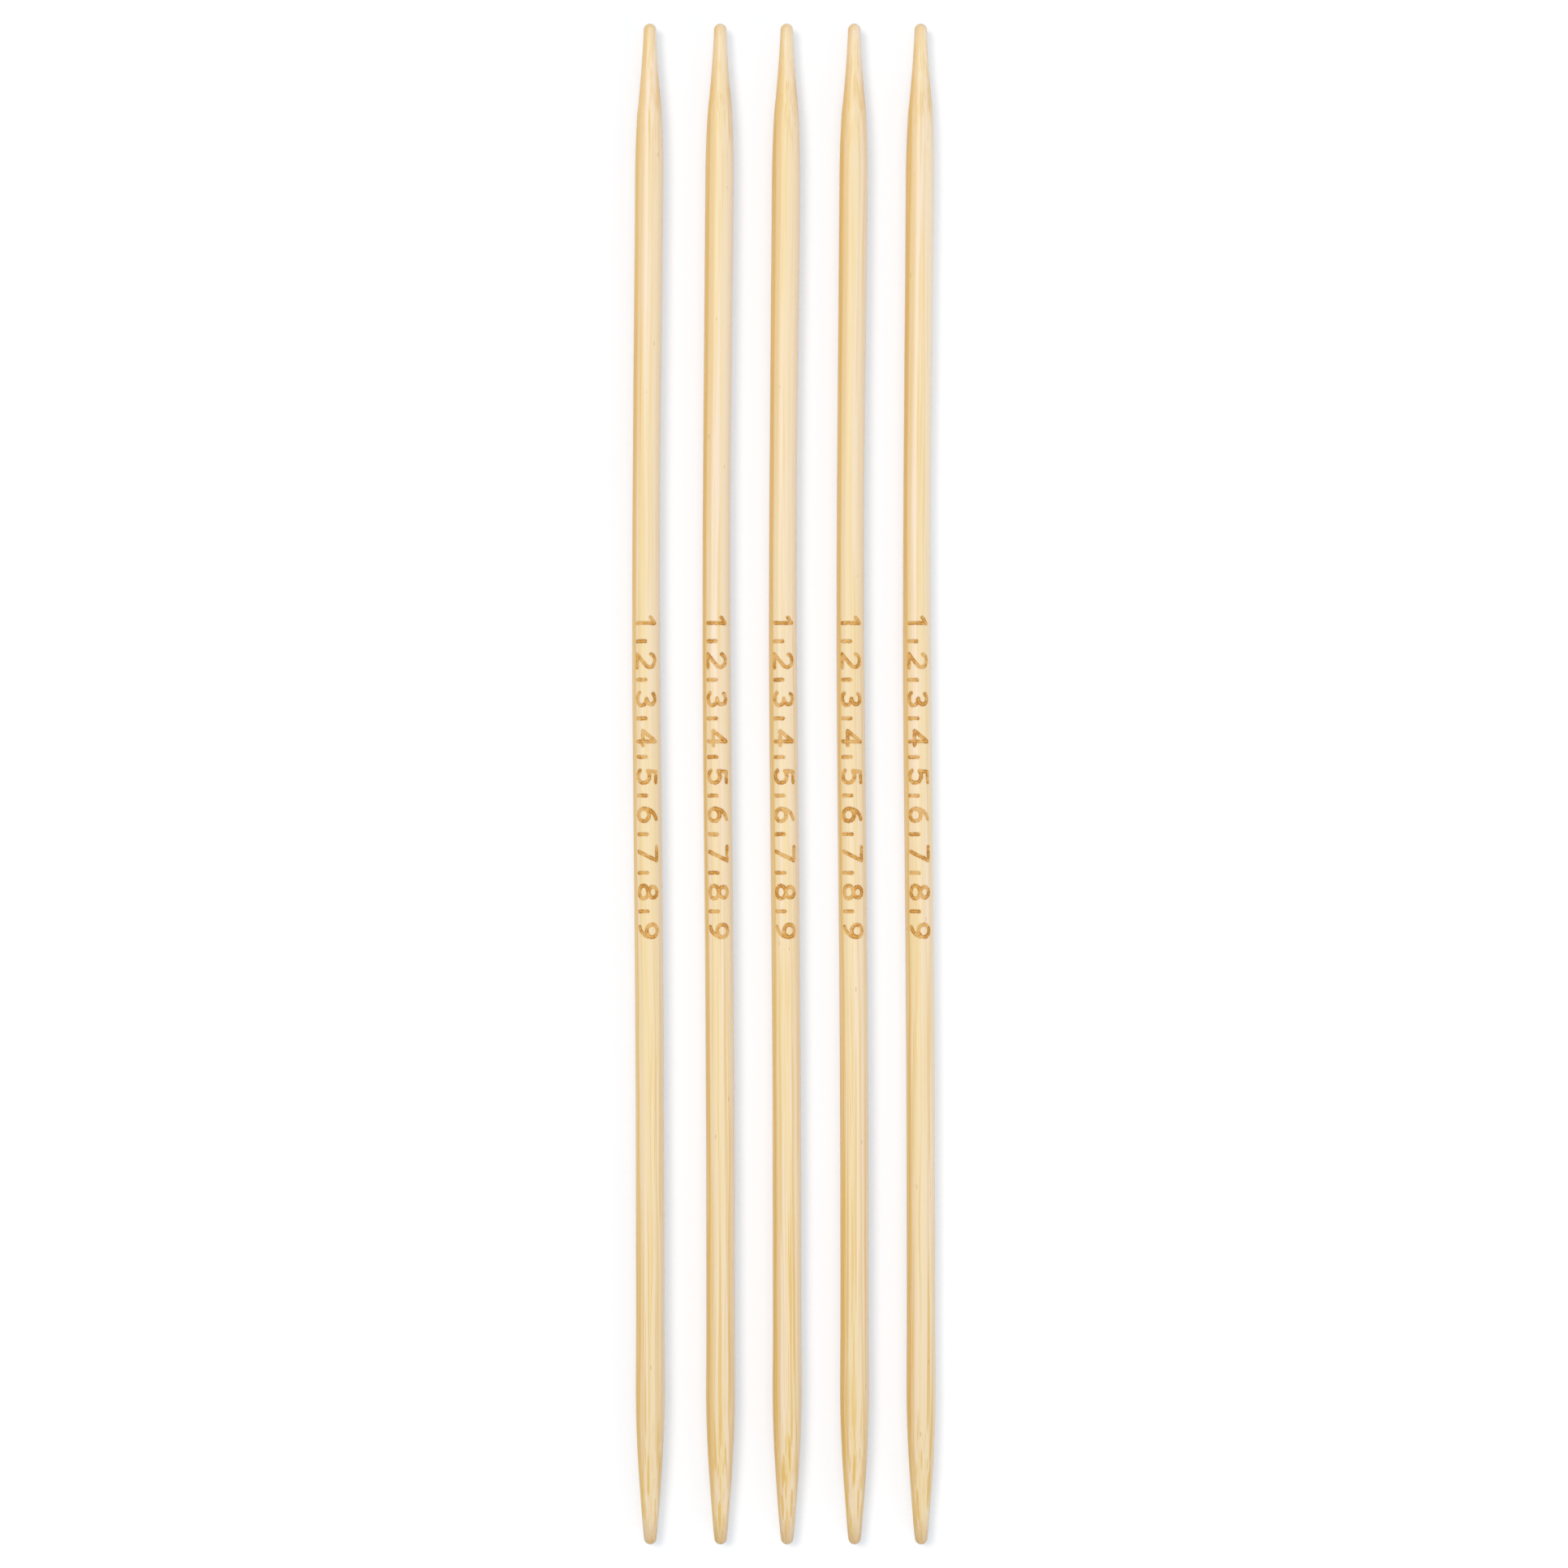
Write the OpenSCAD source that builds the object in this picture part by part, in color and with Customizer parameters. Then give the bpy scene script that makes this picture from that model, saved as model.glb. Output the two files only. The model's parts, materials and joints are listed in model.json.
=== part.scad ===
// Set of double pointed needles for knitting in the round.
// Each needle is one stick of bamboo, turned round and ground to a blunt point at both ends.
// The needles lie side by side along Y on the plane z = 0, with the row's middle at x = y = 0.

/* [Needle] */
// Length of a needle from tip to tip
needle_len = 160; // [100:5:230]
// Diameter of the shaft, by which needles are sized
shaft_d = 3; // [2:0.25:8]

/* [Point] */
// Length of the tapered point at each end
point_len = 16.5; // [10:0.5:30]
// Diameter of the rounded tip, as a share of the shaft's
tip_share = 0.44; // [0.3:0.01:0.6]
// Where the steep grind ends in a soft shoulder, as a share of the point's length
shoulder_at = 0.57; // [0.45:0.01:0.7]
// Diameter at the shoulder, as a share of the shaft's
shoulder_share = 0.87; // [0.8:0.01:0.95]
// How deep the steep grind is hollowed half way along it
grind_hollow = 0.05; // [0:0.01:0.1]

/* [Row] */
// Clear gaps between neighbouring needles, from left to right
gaps = [4.4, 4, 4.1, 4]; // [1:0.1:10]

/* [Hidden] */

round_fn = 96;         // facets round a needle in the preview
tip_steps = 12;        // steps of the outline round the tip
grind_steps = 6;       // steps along the hollowed grind
blend_steps = 6;       // steps along the blend from the shoulder to the shaft

shaft_r = shaft_d / 2;
tip_r = shaft_r * tip_share;
shoulder_r = shaft_r * shoulder_share;
shoulder_s = point_len * shoulder_at;

// The steep grind starts where the tip's arc has turned to the grind's own slope
grind_len = shoulder_s - tip_r;
start_slope = (shoulder_r - tip_r - 4 * grind_hollow) / grind_len;
tip_turn = 90 - atan(start_slope);
start_r = tip_r * sin(tip_turn);
start_s = tip_r * (1 - cos(tip_turn));

// Middle of a needle across the row: the gaps and shafts to its left, less half the row
row_w = gaps[0] + gaps[1] + gaps[2] + gaps[3] + 5 * shaft_d;
function gaps_before(i) = i == 0 ? 0 : gaps[i - 1] + gaps_before(i - 1);
function middle_x(i) = gaps_before(i) + (i + 0.5) * shaft_d - row_w / 2;

// Outline of one point, as [radius, distance from the tip].
// The tip is an arc, the steep grind a line with a shallow hollow, and the blend a parabola
// that meets the shaft without an edge.
tip_arc = [for (k = [0:tip_steps])
    let (turn = tip_turn * k / tip_steps)
    [tip_r * sin(turn), tip_r * (1 - cos(turn))]];
grind = [for (k = [1:grind_steps])
    let (t = k / grind_steps)
    [start_r + (shoulder_r - start_r) * t - 4 * grind_hollow * t * (1 - t),
     start_s + (shoulder_s - start_s) * t]];
blend = [for (k = [1:blend_steps])
    let (t = k / blend_steps)
    [shaft_r - (shaft_r - shoulder_r) * pow(1 - t, 2),
     shoulder_s + (point_len - shoulder_s) * t]];
point_outline = concat(tip_arc, grind, blend);

// Half section of a whole needle: one point, the straight shaft, and the same point mirrored
last = len(point_outline) - 1;
near_end = [for (p = point_outline) [p[0], p[1] - needle_len / 2]];
far_end = [for (k = [0:last]) let (p = near_end[last - k]) [p[0], -p[1]]];

module needle(i) {
    color("wheat")
        translate([middle_x(i), 0, shaft_r])
            rotate([90, 0, 0])
                rotate_extrude($fn = round_fn)
                    polygon(concat(near_end, far_end));
}

needle(0);  // needle_1
needle(1);  // needle_2
needle(2);  // needle_3
needle(3);  // needle_4
needle(4);  // needle_5
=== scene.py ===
import json
import math

import bpy
import numpy as np
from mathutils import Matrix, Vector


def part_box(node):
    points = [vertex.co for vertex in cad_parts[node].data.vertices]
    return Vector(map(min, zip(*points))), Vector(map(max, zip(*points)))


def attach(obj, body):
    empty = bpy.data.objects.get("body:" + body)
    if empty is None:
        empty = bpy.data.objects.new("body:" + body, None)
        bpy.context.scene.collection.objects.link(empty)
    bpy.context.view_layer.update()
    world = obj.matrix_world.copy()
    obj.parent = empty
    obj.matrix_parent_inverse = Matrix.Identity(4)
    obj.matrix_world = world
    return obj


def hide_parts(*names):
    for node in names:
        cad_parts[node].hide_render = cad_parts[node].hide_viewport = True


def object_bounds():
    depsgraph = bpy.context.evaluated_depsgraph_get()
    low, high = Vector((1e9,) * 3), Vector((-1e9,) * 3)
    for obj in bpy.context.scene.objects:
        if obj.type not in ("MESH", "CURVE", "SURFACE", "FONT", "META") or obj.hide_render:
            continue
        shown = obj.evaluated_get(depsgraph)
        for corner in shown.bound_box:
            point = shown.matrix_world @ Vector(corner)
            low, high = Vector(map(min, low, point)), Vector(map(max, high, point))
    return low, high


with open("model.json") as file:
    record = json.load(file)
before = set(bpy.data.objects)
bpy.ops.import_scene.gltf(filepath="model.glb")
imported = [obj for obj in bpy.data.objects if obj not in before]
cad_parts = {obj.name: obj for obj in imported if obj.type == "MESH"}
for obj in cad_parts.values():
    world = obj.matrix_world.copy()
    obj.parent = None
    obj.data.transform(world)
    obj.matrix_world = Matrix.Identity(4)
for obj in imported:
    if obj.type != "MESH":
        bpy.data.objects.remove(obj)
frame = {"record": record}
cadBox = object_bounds()
mm = 0.001

# The needles lie along Y. Lengths below are in mm unless a note says otherwise.


def linear(red, green, blue):
    # A colour picked on a screen, 0 to 255, as the linear values that shaders take
    shares = np.array([red, green, blue]) / 255
    low = shares / 12.92
    high = ((shares + 0.055) / 1.055) ** 2.4
    return (*np.where(shares <= 0.04045, low, high).tolist(), 1.0)


def bell(x, middle, width):  # exp of minus the squared distance from the middle, counted in widths
    return np.exp(-(((x - middle) / width) ** 2))


# Camera and studio
studio = {
    "lens": 100,                            # of the camera
    "margin": 1.0312,                       # height of the picture over the length of a needle
    # three soft lamps: height above the floor and place round from +X in degrees, degrees of sky
    # that it fills, and its share of the light on an upward face. The sky gives the rest.
    "lamps": {
        "keyLight": {"height": 61, "around": 145, "spread": 24, "share": 0.25},
        "topLight": {"height": 88, "around": 180, "spread": 60, "share": 0.2},
        "fillLight": {"height": 22, "around": -35, "spread": 40, "share": 0.06},
    },
    "floorSize": 6.0,                       # metres
    "floorColour": linear(236, 237, 239),   # of the light that it throws back on the needles
    # What the camera sees of the floor, and a glow that makes that white where no shadow falls. The
    # glow is bluish, because wood throws warm light into the shadows.
    "floorSeen": (0.885, 0.785, 0.71, 1),
    "floorGlow": (0.14, 0.255, 0.352, 1),
    "floorGap": 0.7,                        # the glow fades where wood lies closer over the floor than this, a painted contact shade under the needles
}


def addCamera(length, height):
    lens = bpy.data.cameras.new("camera")
    lens.lens = studio["lens"]
    away = lens.lens / lens.sensor_width * length * studio["margin"]
    camera = bpy.data.objects.new("camera", lens)
    camera.location = (0, 0, height + away)  # looks straight down, with +Y up in the picture
    lens.clip_start, lens.clip_end = away / 100, away * 100
    bpy.context.scene.collection.objects.link(camera)
    bpy.context.scene.camera = camera


def addLamps():
    for name, setting in studio["lamps"].items():
        lamp = bpy.data.lights.new(name, "SUN")
        lamp.angle = math.radians(setting["spread"])
        height = math.radians(setting["height"])
        # an upward white face then shines with the lamp's share of full white
        lamp.energy = math.pi * setting["share"] / math.sin(height)
        light = bpy.data.objects.new(name, lamp)
        light.rotation_euler = (0, math.pi / 2 - height, math.radians(setting["around"]))
        bpy.context.scene.collection.objects.link(light)


# Shader sums
class Wire:
    # A socket of a node tree. Sums on it add Math nodes; any other node comes from add().
    def __init__(self, tree, socket=None):
        self.tree = tree
        self.socket = socket

    def add(self, kind, settings=None, sockets=None, out=0):
        node = self.tree.nodes.new("ShaderNode" + kind)
        for name, value in (settings or {}).items():
            setattr(node, name, value)
        for name, value in (sockets or {}).items():
            if isinstance(value, Wire):
                self.tree.links.new(value.socket, node.inputs[name])
            else:
                node.inputs[name].default_value = value
        return Wire(self.tree, node.outputs[out] if node.outputs else None)

    def math(self, operation, *values):
        return self.add("Math", {"operation": operation}, dict(enumerate(values)))

    def __add__(self, other):
        return self.math("ADD", self, other)

    def __sub__(self, other):
        return self.math("SUBTRACT", self, other)

    def __rsub__(self, other):
        return self.math("SUBTRACT", other, self)

    def __mul__(self, other):
        return self.math("MULTIPLY", self, other)

    def __truediv__(self, other):
        return self.math("DIVIDE", self, other)

    def __pow__(self, power):
        return self.math("POWER", self, power)

    __radd__ = __add__
    __rmul__ = __mul__

    def rise(self, low, high):  # 0 at low, 1 at high, eased at both ends
        return self.add("MapRange", {"interpolation_type": "SMOOTHSTEP"},
                        {"Value": self, "From Min": low, "From Max": high})

    def bell(self, middle, width):  # 1 at the middle, falling to both sides
        away = (self - middle) / width
        return self.math("EXPONENT", away * away * -1)

    def mix(self, start, end):  # the two colours mixed by this value
        return self.add("Mix", {"data_type": "RGBA"}, {0: self, 6: start, 7: end}, out=2)

    def vector(self, operation, other):  # a sum on vectors or colours
        return self.add("VectorMath", {"operation": operation}, {0: self, 1: other})

    def part(self, axis):  # one number of a vector
        return self.add("SeparateXYZ", sockets={0: self}, out=axis)


def newMaterial(name):
    material = bpy.data.materials.new(name)
    material.use_nodes = True
    material.node_tree.nodes.clear()
    return material, Wire(material.node_tree)


def addSky():
    # The sky lights the needles with its share. The camera, and what shines, see plain white.
    world = bpy.data.worlds.new("studio")
    world.use_nodes = True
    world.node_tree.nodes.clear()
    wire = Wire(world.node_tree)
    camera = wire.add("LightPath", out="Is Camera Ray")
    glossy = wire.add("LightPath", out="Is Glossy Ray")
    through = wire.add("LightPath", out="Is Transmission Ray")
    seen = camera.math("MAXIMUM", camera.math("MAXIMUM", camera, glossy), through)
    skyShare = 1 - sum(lamp["share"] for lamp in studio["lamps"].values())
    wire.add("OutputWorld", sockets={"Surface": wire.add(
        "Background", sockets={"Color": (1, 1, 1, 1), "Strength": seen * (1 - skyShare) + skyShare})})
    bpy.context.scene.world = world


def floorMaterial():
    # A pale floor. For the camera alone it glows a little, which turns it white but for the shadows.
    material, wire = newMaterial("paleFloor")
    camera = wire.add("LightPath", out="Is Camera Ray")
    colour = camera.mix(studio["floorColour"], studio["floorSeen"])
    lit = wire.add("BsdfDiffuse", sockets={"Color": colour})
    # painted contact shade: the glow fades where wood lies close over the floor
    bare = wire.add("AmbientOcclusion", sockets={"Distance": studio["floorGap"] * mm}, out="AO")
    glow = wire.add("Emission", sockets={"Color": studio["floorGlow"], "Strength": camera * bare})
    wire.add("OutputMaterial", sockets={"Surface": wire.add("AddShader", sockets={0: lit, 1: glow})})
    return material


def addFloor():
    half = studio["floorSize"] / 2
    corners = [(-half, -half, 0), (half, -half, 0), (half, half, 0), (-half, half, 0)]
    mesh = bpy.data.meshes.new("floor")
    mesh.from_pydata(corners, [], [(0, 1, 2, 3)])
    mesh.materials.append(floorMaterial())
    floor = bpy.data.objects.new("floor", mesh)
    floor.location.z = -needle["swell"] * mm  # the needles lie on their thickest places
    bpy.context.scene.collection.objects.link(floor)


# The needle's shape
needle = {
    "pointLength": 16.5,           # from the tip to the full shaft
    "tipShare": 0.44,              # the rounded tip's diameter over the shaft's
    "shoulderAt": 0.57,            # where along the point the steep grind ends
    "shoulderShare": 0.87,         # the diameter there over the shaft's
    "hollow": (0.07, -0.03),       # how deep the far and near points' grinds are hollowed
    "bow": 0.45,                   # how far the stick bends to the left
    "bowAt": 0.37,                 # where it bends most, as a share of the length from the far tip
    "bowSpread": 0.23,             # and how far that reaches
    "bowRest": 0.18,               # how far the tips lie to the right of a straight stick's
    "slim": 0.05,                  # what sanding took off the radius in the far half
    "slimAt": 0.3,                 # where, as a share of the length
    "slimSpread": 0.12,
    "swell": 0.035,                # what it left on the near end
    "swellFrom": 0.86,
    "swellTo": 0.9,
    "oval": 0.010,                 # how much flatter one way round than the other
    "ripple": 0.006,               # slow waves that polishing leaves
    "grooves": 46,                 # opened fibres, as fine furrows along the stick
    "grooveDepth": 0.010,
    "grooveWidth": 0.07,
    "grooveLength": (8, 45),
}
detail = {
    "around": 112,                 # faces round a needle
    "tipSteps": 12,                # rings round the rounded tip
    "pointStep": 0.26,             # between rings on a point, on the shaft and in the mark
    "shaftStep": 0.45,
    "markStep": 0.085,
    "strips": 4,                   # of the map for baked textures
    "stripMargin": 0.02,           # bare edge on each side of a strip, as a share of its width
}


def stickRadius(fromTip, hollow, shaft):
    # Arc round the tip, then a nearly straight grind with a shallow hollow up to the shoulder,
    # then a parabola that meets the shaft without an edge.
    tip = shaft * needle["tipShare"]
    shoulder = shaft * needle["shoulderShare"]
    shoulderAt = needle["pointLength"] * needle["shoulderAt"]
    arc = np.sqrt(np.clip(tip**2 - (tip - fromTip) ** 2, 0, None))
    along = (fromTip - tip) / (shoulderAt - tip)
    grind = tip + (shoulder - tip) * along - 4 * hollow * along * (1 - along)
    rest = 1 - (fromTip - shoulderAt) / (needle["pointLength"] - shoulderAt)
    blend = shaft - (shaft - shoulder) * rest**2
    return np.select(
        [fromTip < tip, fromTip < shoulderAt, fromTip < needle["pointLength"]],
        [arc, grind, blend], shaft)


def bend(share):
    # How far the stick's middle lies to the right at a share of its length: the rest less a bell
    return needle["bowRest"] - needle["bow"] * bell(share, needle["bowAt"], needle["bowSpread"])


def ringPlaces(length, tip, markFrom, markTo):
    # Distances of the rings from the far tip: even in angle round the tips, then at even steps
    turns = np.linspace(0, math.pi / 2, detail["tipSteps"] + 1)[1:]
    cap = tip * (1 - np.cos(turns))
    stops = [tip, needle["pointLength"], markFrom, markTo, length - needle["pointLength"], length - tip]
    pointStep, shaftStep, markStep = detail["pointStep"], detail["shaftStep"], detail["markStep"]
    steps = [pointStep, shaftStep, markStep, shaftStep, pointStep]
    spans = [np.linspace(start, end, math.ceil((end - start) / step) + 1)[1:]
             for start, end, step in zip(stops[:-1], stops[1:], steps)]
    return np.concatenate([cap, *spans, length - cap[-2::-1]])


# The burnt mark
mark = {
    "start": 62.2,                 # distance of the mark from the far tip
    "figures": "123456789",        # plain numbers, read from the far end with their tops to the right
    "pitch": 4.05,                 # from one figure to the next
    "height": 2.05,                # of a figure, round the stick
    "width": 1.6,                  # of a figure, along the stick
    "tick": 0.95,                  # height of the short line between two figures
    "stroke": 0.35,                # width of a burnt line
    "soft": 0.04,                  # how far to both sides of its edge it sinks and darkens
    "depth": 0.03,                 # how far it has sunk
    "uneven": 0.3,                 # how far its colours wander over its edge
    "rim": 0.16,                   # how far outside the edge the wood is tanned
    "charInside": 0.05,            # how far inside the edge it is darkest
    "charSpread": 0.09,            # and how far that reaches
    "baseline": -1.0,              # where the figures stand, round the stick from its top
    "reach": 0.5,                  # how far from a line its distance is kept
}


def arc(x, y, halfWidth, halfHeight, start, end):  # points along an ellipse between two angles, in degrees
    turn = np.radians(np.linspace(start, end, 13))
    return np.stack([x + halfWidth * np.cos(turn), y + halfHeight * np.sin(turn)], 1)


def figureLines():
    # Each figure's lines in a box 1 high and 0.7 wide, with lines for straights and arcs for rounds
    six = [arc(0.35, 0.3, 0.29, 0.3, 0, 360), arc(0.66, 0.32, 0.6, 0.68, 180, 102)]
    return {
        "1": [np.array([(0.14, 0.76), (0.4, 1), (0.4, 0)])],
        "2": [np.concatenate([arc(0.35, 0.7, 0.3, 0.3, 165, -35), [(0.05, 0), (0.67, 0)]])],
        "3": [arc(0.33, 0.76, 0.26, 0.24, 150, -90), arc(0.33, 0.26, 0.31, 0.26, 90, -150)],
        "4": [np.array([(0.52, 0), (0.52, 1), (0.04, 0.3), (0.7, 0.3)])],
        "5": [np.concatenate([[(0.62, 1), (0.14, 1), (0.1, 0.55)],
                              arc(0.34, 0.32, 0.31, 0.32, 125, -145)])],
        "6": six,
        "7": [np.array([(0.04, 1), (0.67, 1), (0.26, 0)])],
        "8": [arc(0.35, 0.76, 0.25, 0.24, 0, 360), arc(0.35, 0.26, 0.3, 0.26, 0, 360)],
        "9": [(0.7, 1) - line for line in six],
    }


def markLines():
    # All the mark's lines in mm: first number along the stick from the mark's start, second up from
    # the baseline
    shapes = figureLines()
    scale = np.array([mark["width"] / 0.7, mark["height"]])
    lines = []
    for place, figure in enumerate(mark["figures"]):
        start = place * mark["pitch"]
        lines += [line * scale + (start, 0) for line in shapes[figure]]
        if place + 1 < len(mark["figures"]):
            tickAt = start + (mark["width"] + mark["pitch"]) / 2
            lines.append(np.array([(tickAt, 0), (tickAt, mark["tick"])]))
    return lines


def lineDistance(x, y, lines):
    # Distance of every point from the nearest line: to the foot of the perpendicular on each
    # straight piece, or to its end where the foot falls outside it
    nearest = np.full(x.shape, mark["reach"])
    for line in lines:
        for (x0, y0), (x1, y1) in zip(line[:-1], line[1:]):
            dx, dy = x1 - x0, y1 - y0
            foot = np.clip(((x - x0) * dx + (y - y0) * dy) / (dx * dx + dy * dy), 0, 1)
            nearest = np.minimum(nearest, np.hypot(x - x0 - foot * dx, y - y0 - foot * dy))
    return nearest


# One needle as a surface
def wear(fromFar, turn, length, shaft, chance):
    # What is missing from the perfect stick: the sanded waist less the near end's swell, an oval
    # section, slow ripples, and the furrows, each a bell across and a soft-ended stretch along
    share = fromFar / length
    lost = needle["slim"] * bell(share, needle["slimAt"], needle["slimSpread"])
    lost = lost - needle["swell"] * np.interp(share, [needle["swellFrom"], needle["swellTo"]], [0, 1])
    lost = lost + needle["oval"] * (0.5 - 0.5 * np.cos(2 * turn + chance.uniform(0, 6)))
    for waves in (5, 9, 14):
        phase = chance.uniform(0, 6, 2)
        ripple = np.sin(2 * math.pi * waves * share + phase[0] + 0.8 * np.sin(turn + phase[1]))
        lost = lost + needle["ripple"] * 0.33 * (1 + ripple)
    for _ in range(needle["grooves"]):
        middle = chance.uniform(0, length)
        half = chance.uniform(*needle["grooveLength"]) / 2
        at = chance.uniform(-math.pi, math.pi)
        width = needle["grooveWidth"] * chance.uniform(0.7, 1.5) / shaft
        depth = needle["grooveDepth"] * chance.uniform(0.3, 1)
        off = np.angle(np.exp(1j * (turn - at)))
        lost = lost + depth * bell(off, 0, width) * np.exp(-(((fromFar - middle) / half) ** 4))
    return lost


def needleSurface(low, high, chance):
    # A profile carried round the stick's axis: radius(from the tip) less the wear and the mark's
    # depth, on a middle line that bends sideways
    length = (high.y - low.y) / mm
    shaft = (high.x - low.x) / mm / 2
    tip = shaft * needle["tipShare"]
    markLength = (len(mark["figures"]) - 1) * mark["pitch"] + mark["width"]
    margin = mark["reach"]
    rings = ringPlaces(length, tip, mark["start"] - margin, mark["start"] + markLength + margin)
    turn, fromFar = np.meshgrid(np.linspace(-math.pi, math.pi, detail["around"], endpoint=False), rings)
    fromTip = np.minimum(fromFar, length - fromFar)
    hollow = np.where(fromFar < length / 2, *needle["hollow"])
    radius = stickRadius(fromTip, hollow, shaft)
    lost = wear(fromFar, turn, length, shaft, chance) * np.clip(fromTip / tip - 1, 0, 1)
    distance = lineDistance(fromFar - mark["start"], turn * shaft - mark["baseline"], markLines())
    sunk = np.clip((mark["stroke"] / 2 + mark["soft"] - distance) / (2 * mark["soft"]), 0, 1)
    worn = radius - lost - mark["depth"] * sunk
    aside = bend(fromFar / length)
    straight = np.stack([radius * np.sin(turn), length / 2 - fromFar, radius * np.cos(turn)], 2)
    shape = np.stack([aside + worn * np.sin(turn), length / 2 - fromFar, worn * np.cos(turn)], 2)
    return straight, shape, distance, length


def closedMesh(name, shape, ends):
    # The grid's points in rows round the stick, closed at both ends by a fan to one point
    rows, columns = shape.shape[:2]
    points = np.concatenate([shape.reshape(-1, 3), ends])
    row, column = np.meshgrid(np.arange(rows - 1), np.arange(columns), indexing="ij")
    beside = (column + 1) % columns
    here, there = row * columns, (row + 1) * columns
    quads = np.stack([here + column, there + column, there + beside, here + beside], 2).reshape(-1, 4)
    column = np.arange(columns)
    beside = (column + 1) % columns
    first, last = rows * columns, rows * columns + 1
    lowest = (rows - 1) * columns
    farFan = np.stack([np.full(columns, first), column, beside], 1)
    nearFan = np.stack([lowest + column, np.full(columns, last), lowest + beside], 1)
    made = bpy.data.meshes.new(name)
    made.from_pydata(points.tolist(), [], quads.tolist() + farFan.tolist() + nearFan.tolist())
    made.polygons.foreach_set("use_smooth", np.ones(len(made.polygons), bool))
    made.update()
    return made


def addMap(made, straight, ends):
    # A map through which the finish can be baked: the skin rolled out flat and cut across into strips
    # that lie side by side. Along a strip is the distance over the skin, across it the turn.
    rows, columns = straight.shape[:2]
    profile = np.concatenate([ends[:1], straight[:, 0], ends[1:]])
    along = np.append(0, np.cumsum(np.linalg.norm(np.diff(profile, axis=0), axis=1)))
    stripLength = along[-1] / detail["strips"]
    strip = along[:-1] // stripLength  # of each band of faces between two rings, the fans included
    far, near = along[:-1] - strip * stripLength, along[1:] - strip * stripLength
    bare = detail["stripMargin"]

    def corners(bands, columnOffsets, atNear):
        across = bare + (1 - 2 * bare) * (np.arange(columns)[:, None] + columnOffsets) / columns
        u = (strip[bands, None, None] + across) / detail["strips"]
        v = np.where(atNear, near[bands, None], far[bands, None])[:, None] / near.max()
        return np.stack(np.broadcast_arrays(u, v), 3).reshape(-1, 2)

    spots = np.concatenate([
        corners(np.arange(1, rows), [0, 0, 1, 1], [False, True, True, False]),
        corners(np.array([0]), [0.5, 0, 1], [False, True, True]),
        corners(np.array([rows]), [0, 0.5, 1], [False, True, False])])
    made.uv_layers.new(name="OFBake").data.foreach_set("uv", spots.ravel())


def addNeedle(node, body, material, place):
    low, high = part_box(node)
    chance = np.random.default_rng(40 + place)
    straight, shape, distance, length = needleSurface(low, high, chance)
    middle = np.array((low + high) / 2)
    tips = np.array([(bend(0), length / 2, 0), (bend(1), -length / 2, 0)])
    made = closedMesh(f"bambooNeedle_{place}", shape * mm + middle, tips * mm + middle)
    # where each point is in the straight stick, so that the grain bends with it
    tips[:, 0] = 0
    addMap(made, straight, tips)
    grain = np.concatenate([straight.reshape(-1, 3), tips])
    grain[:, 1] += bamboo["apart"] * place
    made.attributes.new("grain", "FLOAT_VECTOR", "POINT").data.foreach_set("vector", grain.ravel())
    near = np.append(distance.ravel(), [mark["reach"], mark["reach"]])
    made.attributes.new("fromMark", "FLOAT", "POINT").data.foreach_set("value", near)
    made.materials.append(material)
    piece = bpy.data.objects.new(made.name, made)
    bpy.context.scene.collection.objects.link(piece)
    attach(piece, body)
    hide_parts(node)


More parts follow.
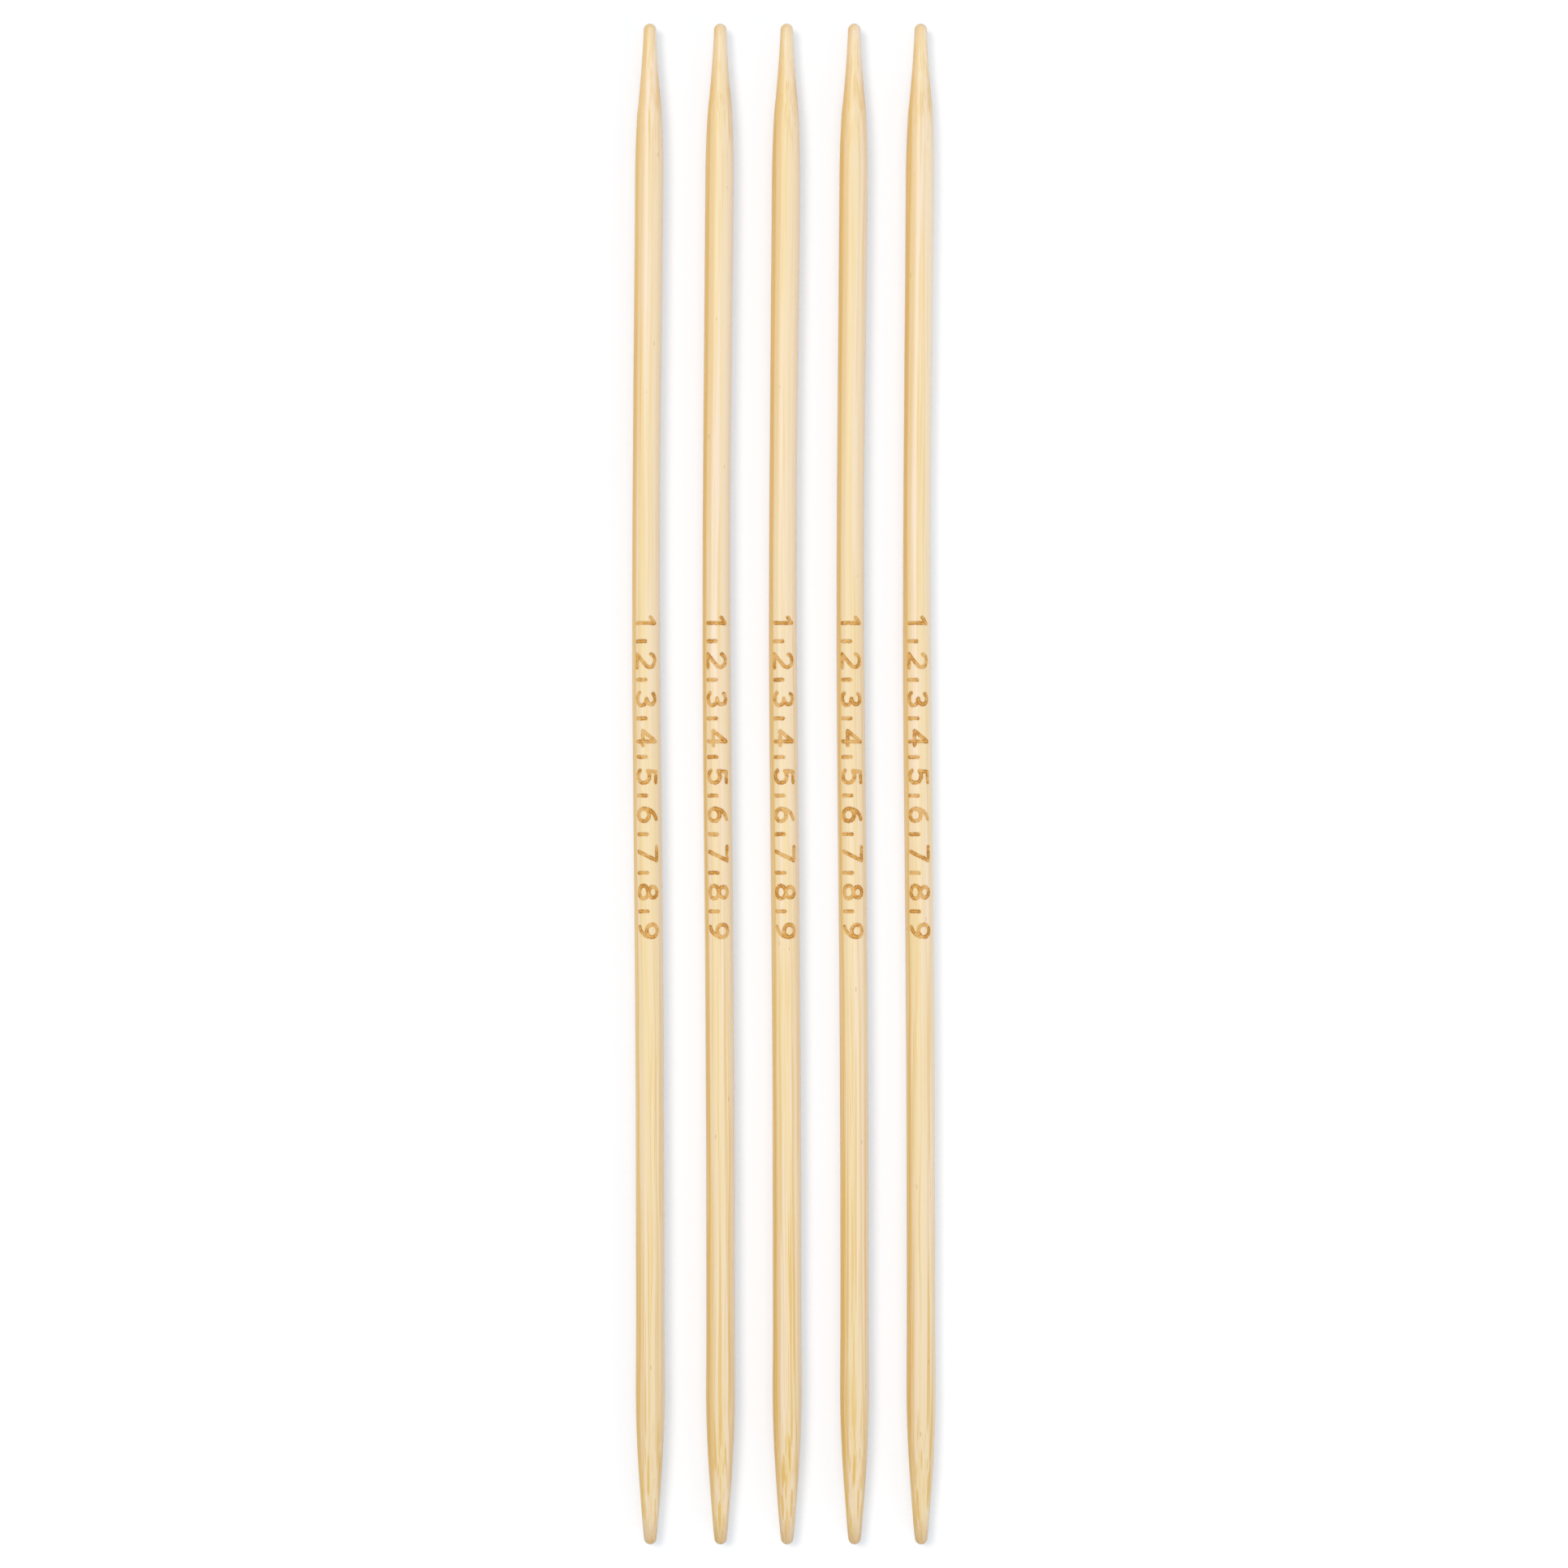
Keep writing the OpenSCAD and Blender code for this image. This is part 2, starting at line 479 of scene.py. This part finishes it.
# Bamboo
bamboo = {
    "cream": linear(243, 223, 185),     # the body of the wood
    "blush": linear(247, 226, 200),     # its pinker stripes
    "straw": linear(243, 220, 170),     # its yellower stripes
    "honey": linear(238, 198, 128),     # the skin side of the culm, partly painted shade on the left of the stick, and the flanks of the points
    "skin": linear(224, 173, 95),       # the strands there
    "pale": linear(254, 235, 210),      # painted light: the right side of the stick made paler
    "fibre": linear(230, 190, 102),     # bundles of fibres
    "pore": linear(196, 150, 104),      # a few small ones
    "ripe": (0.9, 0.89, 0.82, 1),       # what the near end's colour is multiplied by
    "end": linear(184, 146, 94),        # end grain of the tips
    "scorch": linear(232, 176, 76),     # inside a burnt line
    "char": linear(175, 111, 10),       # along its edges
    # golden lines where a sheet of strands meets the surface: place across, how far it leans to the
    # right per mm, distances from the far tip between which it comes up, and how strong it gets
    "lines": [(-1.17, 0, -40, -10, 0.8), (-0.66, 0, 0, 30, 0.2), (-0.95, 0, 105, 130, 0.3),
              (-0.77, 0, 115, 140, 0.5), (-0.08, 0, 80, 110, 0.25), (0.6, 0.0073, 85, 105, 0.5),
              (1.2, 0, 60, 95, 0.2)],
    "lineWidth": 0.085,
    # streaks: how fine they are across and along the stick, and their octaves
    "broad": (0.9, 0.012, 2),
    "second": (2.3, 0.02, 2),
    "fine": (13, 0.16, 2),
    "patchy": (7, 7, 4),
    "short": (4, 0.3, 3),
    "burning": (1, 1, 2),
    # bundles: how fine they are across and along the stick, and how thick
    "skinBundles": (4.5, 0.03, 0.5),
    "thickBundles": (2.4, 0.02, 0.36),
    "thinBundles": (5, 0.04, 0.38),
    "poreBundles": (0.8, 0.16, 0.05),
    # distances from the far tip
    "paleFaint": (82, 25),              # middle and spread of where the painted light on the right side is fainter
    "skinNarrows": (35, 60),            # the skin side reaches less far round past these
    "skinFades": (55, 95),              # it grows fainter between these
    "skinReturns": (114, 130),          # and comes back between these
    "bundlesRise": (85, 135),           # bundles show more past these
    # distances from the nearer tip
    "skinGround": (4, 15),              # the skin side is fainter before these, where a point is ground
    "skinNearTip": (5, 12),             # on the near point it is fainter still before these
    "pointBundles": (8, 5),             # middle and spread of where a point shows more bundles
    "flank": (7.5, 2.2),                # middle and spread of the honey on a point's flanks
    "opened": (10, 18),                 # short fibres that grinding opened show before these
    "duskyTip": (0, 4),                 # the near tip is duller before these
    "cutTip": (0, 1.8),                 # and end grain shows on both before these
    "roughness": 0.4,
    "drift": 0.7,                       # how far the grain wanders sideways
    "relief": 0.012,                    # height of the grain
    "apart": 900,                       # how far apart in one culm the five sticks' grain is taken
}


class Grain:
    # A place on a stick as wires, and patterns that follow the stick's grain
    def __init__(self, wire):
        straight = wire.add("Attribute", {"attribute_name": "grain"}, out="Vector")
        right, up = straight.part("X"), straight.part("Z")
        self.side = right / (right * right + up * up) ** 0.5  # -1 on the left of the stick, 1 on the right
        along = wire.add("TexCoord", out="Object").part("Y") / mm
        length = (cadBox[1].y - cadBox[0].y) / mm
        self.fromFar = length / 2 - along
        self.fromTip = length / 2 - along.math("ABSOLUTE", along)
        nearHalf = self.fromFar / length * 2 - 1
        self.ripe = nearHalf.math("MAXIMUM", nearHalf, 0) ** 2  # the wood is riper at the near end
        # the grain does not run quite straight
        slowly = straight.vector("MULTIPLY", (0.3, 0.03, 0.3))
        slow = wire.add("TexNoise", sockets={"Vector": slowly, "Scale": 1.0}, out="Color")
        drift = bamboo["drift"]
        aside = slow.vector("SUBTRACT", (0.5, 0.5, 0.5)).vector("MULTIPLY", (drift, 0, drift))
        self.wandering = straight.vector("ADD", aside)
        self.across = self.wandering.part("X")
        self.broad = self.streaks(*bamboo["broad"])
        self.second = self.streaks(*bamboo["second"])
        self.fine = self.streaks(*bamboo["fine"])
        self.patchy = self.streaks(*bamboo["patchy"])

    def drawnOut(self, perAcross, perAlong):  # its coordinates, for a pattern drawn out along the stick
        return self.wandering.vector("MULTIPLY", (perAcross, perAlong, perAcross))

    def streaks(self, perAcross, perAlong, octaves):
        place = self.drawnOut(perAcross, perAlong)
        return place.add("TexNoise", sockets={
            "Vector": place, "Scale": 1.0, "Detail": octaves, "Roughness": 0.55})

    def bundles(self, perAcross, perAlong, size):
        # Strands that run inside the wood, cut open where they meet its surface
        place = self.drawnOut(perAcross, perAlong)
        away = place.add("TexVoronoi", sockets={"Vector": place, "Scale": 1.0}, out="Distance")
        return 1 - away.rise(size * 0.8, size * 1.1)


def stripesAndPaintedLight(grain):
    # Cream wood in broad pink and yellow stripes, and painted light that makes the right side of the stick
    # paler
    colour = grain.broad.rise(0.42, 0.6).mix(bamboo["cream"], bamboo["blush"])
    colour = grain.second.rise(0.46, 0.58).mix(colour, bamboo["straw"])
    faint = grain.fromFar.bell(*bamboo["paleFaint"]) * 0.6
    # painted light: the right side of the stick paler, less so round paleFaint
    pale = grain.side.rise(0, 0.75) * (1 - faint) * 0.6 + grain.side.rise(0.65, 0.95) * 0.4
    return pale.mix(colour, bamboo["pale"])


def skinAndPaintedShade(grain, colour):
    # The left side was nearer the skin of the culm. It is darker, partly as painted shade, with a line
    # where it begins, and its strands lie close together.
    skin = grain.side * -1
    wide = 1 - grain.fromFar.rise(*bamboo["skinNarrows"])
    # broad honey over the left side: the skin's colour and partly painted shade
    colour = (skin.rise(0.1, 0.4) * wide * 0.38).mix(colour, bamboo["honey"])
    faint = grain.fromFar.rise(*bamboo["skinFades"]) * (1 - grain.fromFar.rise(*bamboo["skinReturns"]))
    kept = 0.4 + grain.fromTip.rise(*bamboo["skinGround"]) * 0.6 - faint * 0.45
    kept = kept - grain.ripe * (1 - grain.fromTip.rise(*bamboo["skinNearTip"])) * 0.25
    colour = (skin.rise(0.3, 0.95) * kept * 0.4).mix(colour, bamboo["honey"])
    colour = (skin.rise(0.64, 0.78) * kept * (0.15 + grain.second)).mix(colour, bamboo["honey"])
    strands = grain.bundles(*bamboo["skinBundles"]) * skin.rise(0.6, 0.9)
    return (strands * kept * (0.2 + grain.broad * 0.8)).mix(colour, bamboo["skin"])


def fibreColour(grain, colour):
    # The golden lines, then bundles, which show more towards the near end, in the points and away from the
    # right side, which painted light keeps paler
    for place, lean, begins, full, strength in bamboo["lines"]:
        leaning = grain.across - (grain.fromFar - full) * lean
        line = leaning.bell(place, bamboo["lineWidth"]) * grain.fromFar.rise(begins, full)
        colour = (line * (grain.broad * 0.8 + 0.6) * strength).mix(colour, bamboo["fibre"])
    showing = 0.25 + grain.fromFar.rise(*bamboo["bundlesRise"]) * 0.45
    showing = showing + grain.fromTip.bell(*bamboo["pointBundles"]) * 0.25
    showing = showing * (1 - grain.side.rise(0.6, 0.95) * 0.7)
    thick = grain.bundles(*bamboo["thickBundles"]) * grain.broad.rise(0.3, 0.55)
    thin = grain.bundles(*bamboo["thinBundles"]) * grain.second.rise(0.3, 0.6)
    colour = (thick * showing).mix(colour, bamboo["fibre"])
    return (thin * showing * 0.9).mix(colour, bamboo["fibre"])


def pointColour(grain, colour):
    # Honey flanks and short opened fibres where the points are ground
    flank = grain.fromTip.bell(*bamboo["flank"]) * grain.side * grain.side * (0.25 + grain.second)
    colour = (flank * (1 - grain.ripe * 0.5)).mix(colour, bamboo["honey"])
    opened = 1 - grain.fromTip.rise(*bamboo["opened"])
    short = grain.streaks(*bamboo["short"])
    colour = (short.rise(0.5, 0.66) * opened * 0.35).mix(colour, bamboo["honey"])
    return ((1 - short).rise(0.54, 0.7) * opened * 0.3).mix(colour, bamboo["blush"])


def agedColour(grain, colour):
    # A few pores, the near end's riper wood, and the end grain of the tips, the near one duller
    colour = (grain.bundles(*bamboo["poreBundles"]) * 0.5).mix(colour, bamboo["pore"])
    colour = colour.vector("MULTIPLY", grain.ripe.mix((1, 1, 1, 1), bamboo["ripe"]))
    cut = (1 - grain.fromTip.rise(*bamboo["cutTip"])) * grain.patchy.rise(0.35, 0.65)
    colour = (cut * 0.3).mix(colour, bamboo["end"])
    dusky = (1 - grain.fromTip.rise(*bamboo["duskyTip"])) * grain.ripe
    return (dusky * 0.4).mix(colour, bamboo["end"])


def burntColour(grain, edge, burnt, colour):
    # A tanned rim, a golden inside and charred edges, all a little uneven
    half = mark["stroke"] / 2
    burning = grain.streaks(*bamboo["burning"])
    darkest = half - mark["charInside"]
    tanned = 0.4 - edge.rise(darkest, half + mark["rim"]) * 0.4
    colour = tanned.mix(colour, bamboo["honey"])
    golden = burnt * (0.3 + burning.rise(0.35, 0.6) * 0.35 + grain.patchy * 0.5)
    colour = golden.mix(colour, bamboo["scorch"])
    charred = edge.bell(darkest, mark["charSpread"]) * (0.35 + grain.patchy * 0.85)
    charred = charred * (0.45 + burning.rise(0.42, 0.6) * 0.85)
    return charred.mix(colour, bamboo["char"])


def bambooMaterial():
    material, wire = newMaterial("bamboo")
    grain = Grain(wire)
    colour = stripesAndPaintedLight(grain)
    colour = skinAndPaintedShade(grain, colour)
    colour = fibreColour(grain, colour)
    colour = pointColour(grain, colour)
    colour = agedColour(grain, colour)
    # how far a place lies from the middle of a burnt line, and whether it is burnt
    fromMark = wire.add("Attribute", {"attribute_name": "fromMark"}, out="Fac")
    edge = fromMark + (grain.patchy - 0.5) * mark["uneven"]
    half = mark["stroke"] / 2
    burnt = 1 - edge.rise(half - mark["soft"], half + mark["soft"])
    colour = burntColour(grain, edge, burnt, colour)
    roughness = bamboo["roughness"] + (grain.fine - 0.5) * 0.15 + burnt * 0.25
    height = grain.fine * 0.4 + grain.second * 0.6
    normal = wire.add("Bump", sockets={
        "Strength": 1.0, "Distance": bamboo["relief"] * mm, "Height": height})
    shader = wire.add("BsdfPrincipled", {"subsurface_method": "RANDOM_WALK"}, {
        "Base Color": colour, "Roughness": roughness, "Normal": normal, "IOR": 1.48,
        "Subsurface Weight": 0.15, "Subsurface Radius": (1.0, 0.7, 0.4), "Subsurface Scale": 0.2 * mm})
    wire.add("OutputMaterial", sockets={"Surface": shader})
    return material


# Putting it together
bpy.context.scene.view_settings.view_transform = "Standard"
lowest, highest = cadBox
addCamera(highest.y - lowest.y, highest.z / 2)
print("camera set")
addLamps()
addSky()
addFloor()
print("studio set")
wood = bambooMaterial()
bodies = frame["record"]["behaviour"]["bodies"]
for place, body in enumerate(sorted(bodies), start=1):
    for node in bodies[body]:
        addNeedle(node, body, wood, place)
print("needles made")
